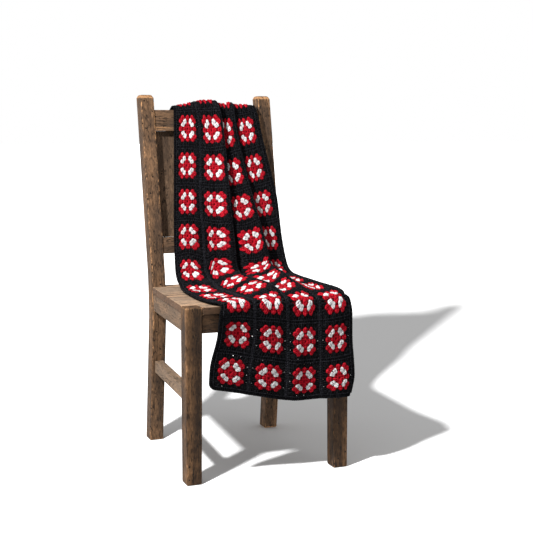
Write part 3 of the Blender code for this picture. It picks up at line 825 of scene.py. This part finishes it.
class BLANKET_OT_joins(bpy.types.Operator):
    """Add the chained rims of the squares and the stitches that join them"""
    bl_idname = "blanket.joins"
    bl_label = "Joins"

    # stitches along a side of a square
    PER_SIDE = 16
    # the rims and joins are ridges, and their yarn is painted lighter by this share: a painted highlight
    # where the ridges catch the light
    RIDGE_PAINTED_LIGHT = 2.4
    # a rim's stitches: the share of a side that they take, and how far along and out their foot and head
    # lie, in squares
    RIM_SHARE = 0.96
    RIM_ENDS = ((-0.036, 0.452), (0.030, 0.470))
    RIM_SIZES = {"half_width": 1.5, "thick": 1.6, "rise": 1.3, "crown": 0.3}
    # the joins' stitches: how far their ends are along and out from the seam's middle, in squares
    ROW_END, COLUMN_END = (0.008, 0.030), (0.034, 0.018)
    ROW_SIZES = {"half_width": 1.0, "thick": 1.0, "rise": 0.1, "crown": 0.5}
    COLUMN_SIZES = {"half_width": 2.0, "thick": 1.8, "rise": 1.6, "crown": 0.5}

    def execute(self, context):
        # the rims' and joins' yarn is a lighter copy of the black yarn: painted highlight on the ridges
        black = yarn("plied_rim", times(self.RIDGE_PAINTED_LIGHT, context.scene.blanket_yarn.black), 0.9)
        rims = Rods(STITCH_PROFILE, 11)
        places = (self.stitches(1) - 0.5) * self.RIM_SHARE
        for quarter in range(4):
            feet, heads = (turned(np.stack([places + along, np.full_like(places, out)], 1), quarter)
                           for along, out in self.RIM_ENDS)
            rims.lay(over_all_squares(feet), over_all_squares(heads), **self.RIM_SIZES)
        rims.built("square_rims", black)

        joins = Rods(STITCH_PROFILE, 12)
        for row in range(1, ROWS):
            feet, heads = self.ends(self.stitches(COLUMNS), row, self.ROW_END)
            joins.lay(feet, heads, **self.ROW_SIZES)
        for column in range(1, COLUMNS):
            feet, heads = self.ends(self.stitches(ROWS), column, self.COLUMN_END)
            joins.lay(feet[:, ::-1], heads[:, ::-1], **self.COLUMN_SIZES)
        joins.built("joining_stitches", black)
        return {"FINISHED"}

    def stitches(self, squares):
        """Places of the stitches along a number of squares."""
        return (np.arange(squares * self.PER_SIDE) + 0.5) / self.PER_SIDE

    @staticmethod
    def ends(places, seam, end):
        """The two ends of each stitch over a seam."""
        along, out = end
        return (np.stack([places + sign * along, np.full_like(places, seam + sign * out)], 1)
                for sign in (-1, 1))


class BLANKET_OT_edging(bpy.types.Operator):
    """Add the black edging round the whole blanket"""
    bl_idname = "blanket.edging"
    bl_label = "Edging"

    # distance between stitches, in squares
    PITCH = 0.055
    # the round of upright stitches and the chain on its outside: how far foot and head lie inside the
    # blanket's last squares and how far the stitch leans (in squares), half width and rise (mm)
    ROUNDS = ((0.012, -0.045, 0.0, 2.3, 0.3), (-0.052, -0.060, 0.030, 1.8, 1.0))

    def execute(self, context):
        rods = Rods(STITCH_PROFILE, 21)
        for size, other, lengthwise in ((COLUMNS, ROWS, False), (ROWS, COLUMNS, True)):
            count = round(size / self.PITCH)
            at = (np.arange(count) + 0.5) / count * size
            for edge, sign in ((0.0, -1), (other, 1)):
                for foot, head, lean, wide, rise in self.ROUNDS:
                    feet = np.stack([at - lean, np.full_like(at, edge - sign * foot)], 1)
                    heads = np.stack([at + lean, np.full_like(at, edge - sign * head)], 1)
                    if lengthwise:
                        feet, heads = feet[:, ::-1], heads[:, ::-1]
                    rods.lay(feet, heads, half_width=wide, thick=1.8, rise=rise, crown=0.4, loose=0.003)
        rods.built("edging", bpy.data.materials["plied_black"])
        return {"FINISHED"}


class BLANKET_OT_wood(bpy.types.Operator):
    """Give each board of the chair its own old wood"""
    bl_idname = "blanket.wood"
    bl_label = "Old wood"

    def execute(self, context):
        settings = context.scene.blanket_wood
        dark, bare, dry, grey = (np.array(getattr(settings, name))
                                 for name in ("dark", "bare", "dry", "grey"))
        dull = (bare + grey) / 2
        # name, grain, body colour, share of grey in it, colour where worn, wear, holes, nodes
        boards = (
            ("leg_wood", "Z", 0.72 * dark, 0.0, 1.4 * bare, 1.5, 0.5,
             ("front_leg_left", "front_leg_right")),
            ("post_wood", "Z", dark, 0.08, 1.3 * bare, 1.7, 1.0, ("rear_post_left", "rear_post_right")),
            ("seat_wood", "X", 0.9 * dry, 0.0, 1.6 * bare, 1.2, 0.3, ("seat_panel",)),
            ("rail_wood", "X", dark, 0.10, bare, 1.0, 1.0, ("top_rail", "lower_back_rail")),
            ("panel_wood", "Z", dark, 0.12, dull, 0.4, 0.4, ("back_panel",)),
            ("front_apron_wood", "X", 0.9 * dark, 0.0, bare, 0.8, 0.5, ("apron_front", "apron_rear")),
            ("apron_wood", "Y", dark, 0.36, bare, 0.8, 0.5, ("apron_left", "apron_right")),
            ("stretcher_wood", "Y", dark, 0.58, dull, 0.6, 0.5, ("stretcher_left", "stretcher_right")),
        )
        for name, grain, body, faded, worn, wear, holes, nodes in boards:
            body = body * (1 - faded) + grey * faded
            # the seat's upright faces are browner than its top
            sides = tuple(2.2 * dark) if name == "seat_wood" else None
            made = old_wood(name, grain, tuple(body), tuple(worn), wear, holes, sides)
            for node in nodes:
                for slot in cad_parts[node].material_slots:
                    slot.material = made
        return {"FINISHED"}


class BLANKET_OT_declare(bpy.types.Operator):
    """A step that does nothing"""
    bl_idname = "blanket.declare"
    bl_label = "Declare the cloth"

    def execute(self, context):
        return {"FINISHED"}


class BLANKET_PT_sidebar(bpy.types.Panel):
    """Sizes, colours and the steps that build the scene"""
    bl_label = "Granny square blanket"
    bl_idname = "BLANKET_PT_sidebar"
    bl_space_type = "VIEW_3D"
    bl_region_type = "UI"
    bl_category = "Blanket"

    def draw(self, context):
        for group in (context.scene.blanket_yarn, context.scene.blanket_wood, context.scene.blanket_stage):
            for name in group.__annotations__:
                self.layout.prop(group, name)
        for step in STEPS:
            self.layout.operator(step.bl_idname)


STEPS = (BLANKET_OT_stage, BLANKET_OT_wood, BLANKET_OT_web, BLANKET_OT_clusters, BLANKET_OT_joins,
         BLANKET_OT_edging, BLANKET_OT_declare)
GROUPS = {"blanket_yarn": YarnSettings, "blanket_wood": WoodSettings, "blanket_stage": StageSettings}


def register():
    for kind in (*GROUPS.values(), *STEPS, BLANKET_PT_sidebar):
        bpy.utils.register_class(kind)
    for name, group in GROUPS.items():
        setattr(bpy.types.Scene, name, bpy.props.PointerProperty(type=group))


def unregister():
    for name in GROUPS:
        delattr(bpy.types.Scene, name)
    for kind in (BLANKET_PT_sidebar, *reversed(STEPS), *GROUPS.values()):
        bpy.utils.unregister_class(kind)


def main():
    register()
    for step in STEPS:
        area, action = step.bl_idname.split(".")
        getattr(getattr(bpy.ops, area), action)()
    bpy.context.view_layer.update()


if __name__ == "__main__":
    main()
